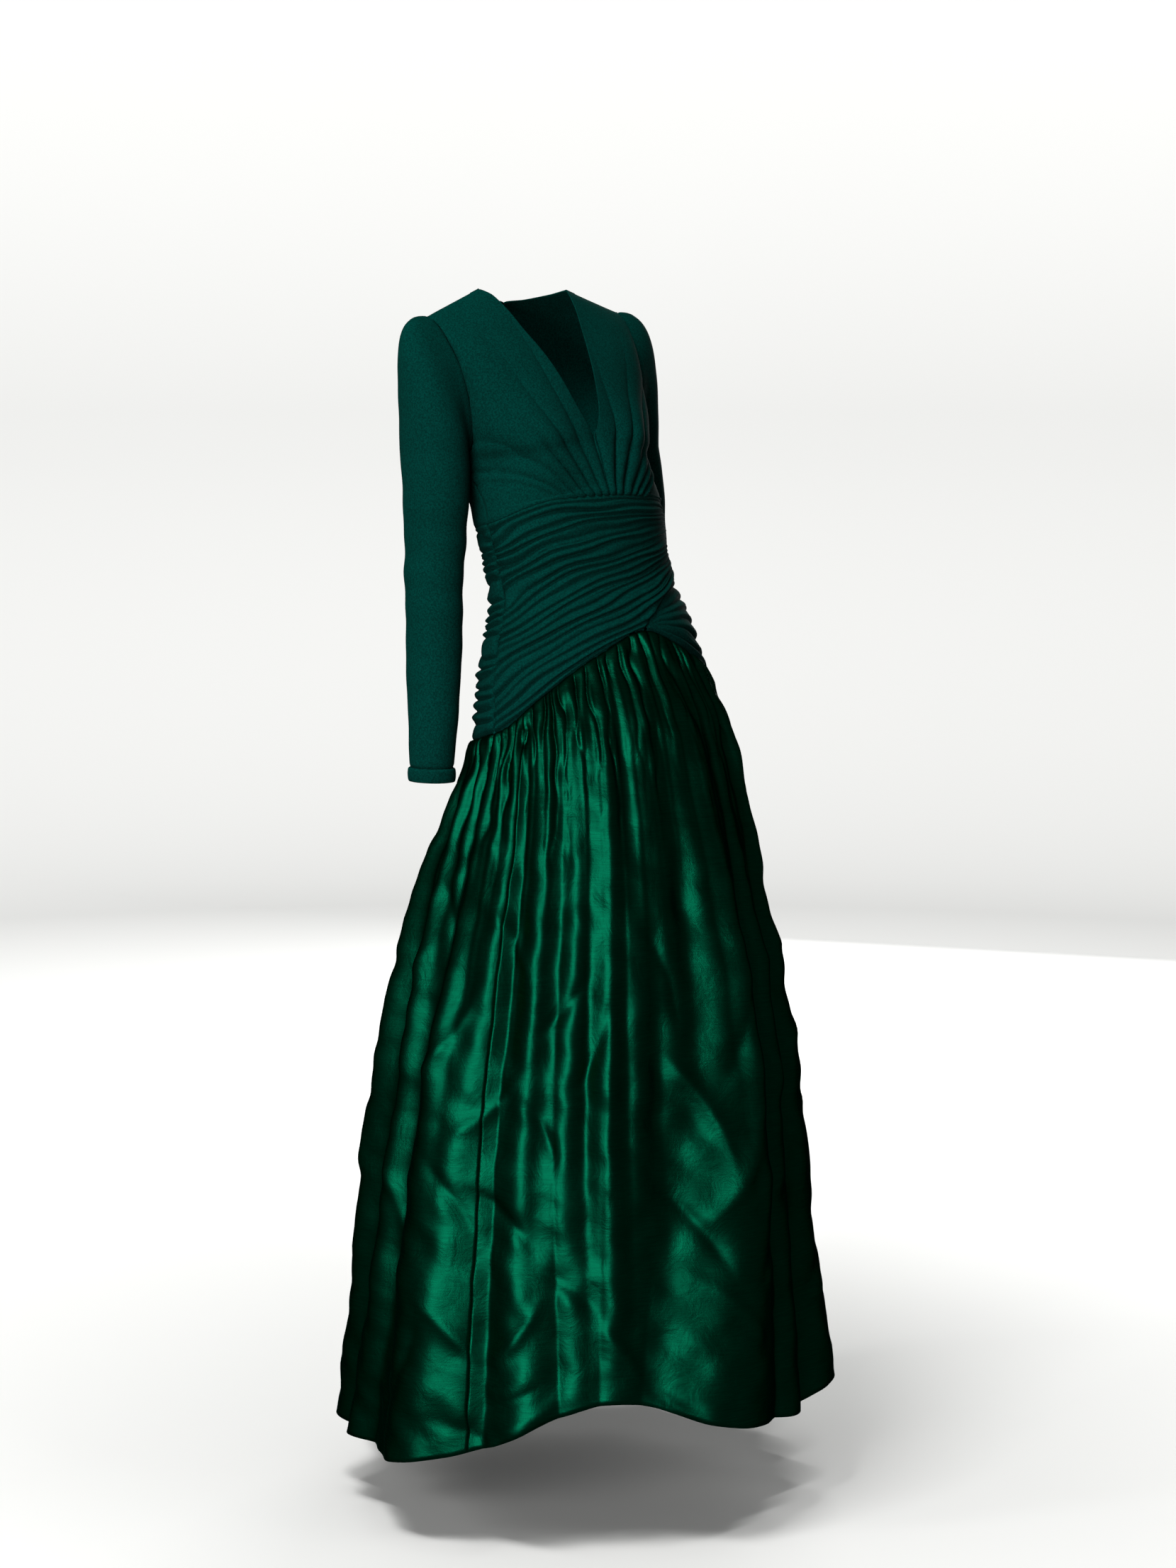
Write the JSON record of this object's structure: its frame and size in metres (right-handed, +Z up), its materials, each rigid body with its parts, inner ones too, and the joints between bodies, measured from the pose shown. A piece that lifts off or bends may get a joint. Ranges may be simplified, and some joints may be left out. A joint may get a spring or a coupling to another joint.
{
  "type": "evening gown",
  "caption": "Long-sleeved evening gown with a V neck, jersey bodice, ruched midriff and full gathered taffeta skirt, in its worn shape.",
  "frame": {"origin": "midway between the two side-neck points, where the gown hangs on the wearer's shoulders", "axes": "+Z up, the front faces -Y, the wearer's left is +X"},
  "size_m": [0.6607, 0.6286, 1.4193],
  "materials": {
    "wool_jersey": "matte knitted wool, dark green",
    "silk_taffeta": "crisp lustrous woven silk, emerald shot with black"
  },
  "bodies": {
    "root": {"bodice_front_right": "wool_jersey", "bodice_front_left": "wool_jersey", "bodice_back_right": "wool_jersey", "bodice_back_left": "wool_jersey", "sleeve_right": "wool_jersey", "sleeve_left": "wool_jersey", "cuff_right": "wool_jersey", "cuff_left": "wool_jersey", "midriff_front": "wool_jersey", "midriff_front_under": "wool_jersey", "midriff_back_right": "wool_jersey", "midriff_back_left": "wool_jersey", "skirt_front": "silk_taffeta", "skirt_back_right": "silk_taffeta", "skirt_back_left": "silk_taffeta"}
  },
  "joints": []
}
